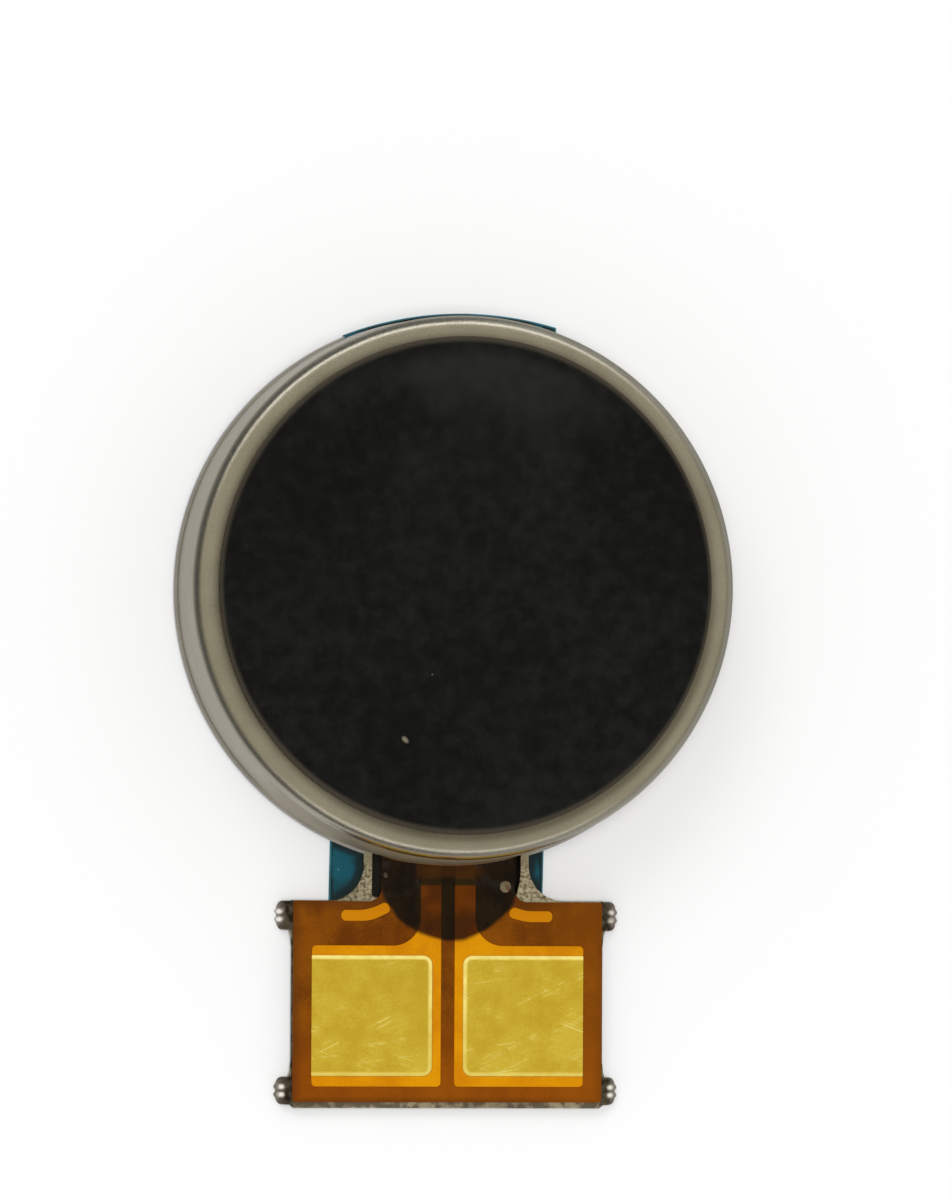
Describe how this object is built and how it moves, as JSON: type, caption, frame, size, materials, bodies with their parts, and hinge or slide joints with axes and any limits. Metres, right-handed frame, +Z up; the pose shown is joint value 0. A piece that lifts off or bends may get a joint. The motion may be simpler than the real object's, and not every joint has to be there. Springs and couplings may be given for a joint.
{
  "type": "vibration coin motor",
  "caption": "Flat round vibration motor: eccentric rotor in a drawn steel can with a foam pad on top, on a stamped plate whose tab carries gold flex contacts.",
  "frame": {"origin": "on the shaft's axis, at the underside of the release film, which is the mounting face", "axes": "+Z up the shaft's axis towards the foam pad, -Y towards the contact tab, +X to the right of the tab seen from above"},
  "size_m": [0.01, 0.0144, 0.0031],
  "materials": {
    "can_steel": "satin, nickel plated",
    "plate_steel": "satin",
    "foam": "matte",
    "tape": "translucent",
    "blue_film": "glossy",
    "polyimide": "satin, amber",
    "copper": "satin",
    "gold": "plated, fine scratches",
    "clear_glue": "glossy",
    "magnet": "nickel plated",
    "ground_steel": "ground",
    "slip_plastic": "matte",
    "spring_alloy": "satin",
    "solder": "bright",
    "bronze": "sintered",
    "board": "solder mask",
    "enamel_wire": "enamelled",
    "resin": "moulded",
    "tungsten": "sintered"
  },
  "bodies": {
    "stator": {"can": "can_steel", "pad_adhesive": "tape", "foam_pad": "foam", "base_plate": "plate_steel", "mounting_adhesive": "tape", "release_film": "blue_film", "flex_adhesive": "tape", "flex_base": "polyimide", "copper_left": "copper", "copper_right": "copper", "tear_stops": "copper", "flex_coverlay": "polyimide", "gold_contact_left": "gold", "gold_contact_right": "gold", "neck_glue": "clear_glue", "shaft": "ground_steel", "lower_washer": "slip_plastic", "upper_washer": "slip_plastic", "magnet_adhesive": "tape", "ring_magnet": "magnet", "brush_left": "spring_alloy", "brush_right": "spring_alloy", "brush_solder": "solder"},
    "rotor": {"bearing_sleeve": "bronze", "commutator_board": "board", "commutator_segments": "gold", "coil_1": "enamel_wire", "coil_2": "enamel_wire", "coil_3": "enamel_wire", "tungsten_weight": "tungsten", "rotor_frame": "resin", "coil_solder": "solder"}
  },
  "joints": [
    {"name": "rotor_spin", "type": "hinge", "parent": "stator", "child": "rotor", "pos_m": [0, 0, 0.0015], "axis": [0, 0, 1], "continuous": true}
  ]
}
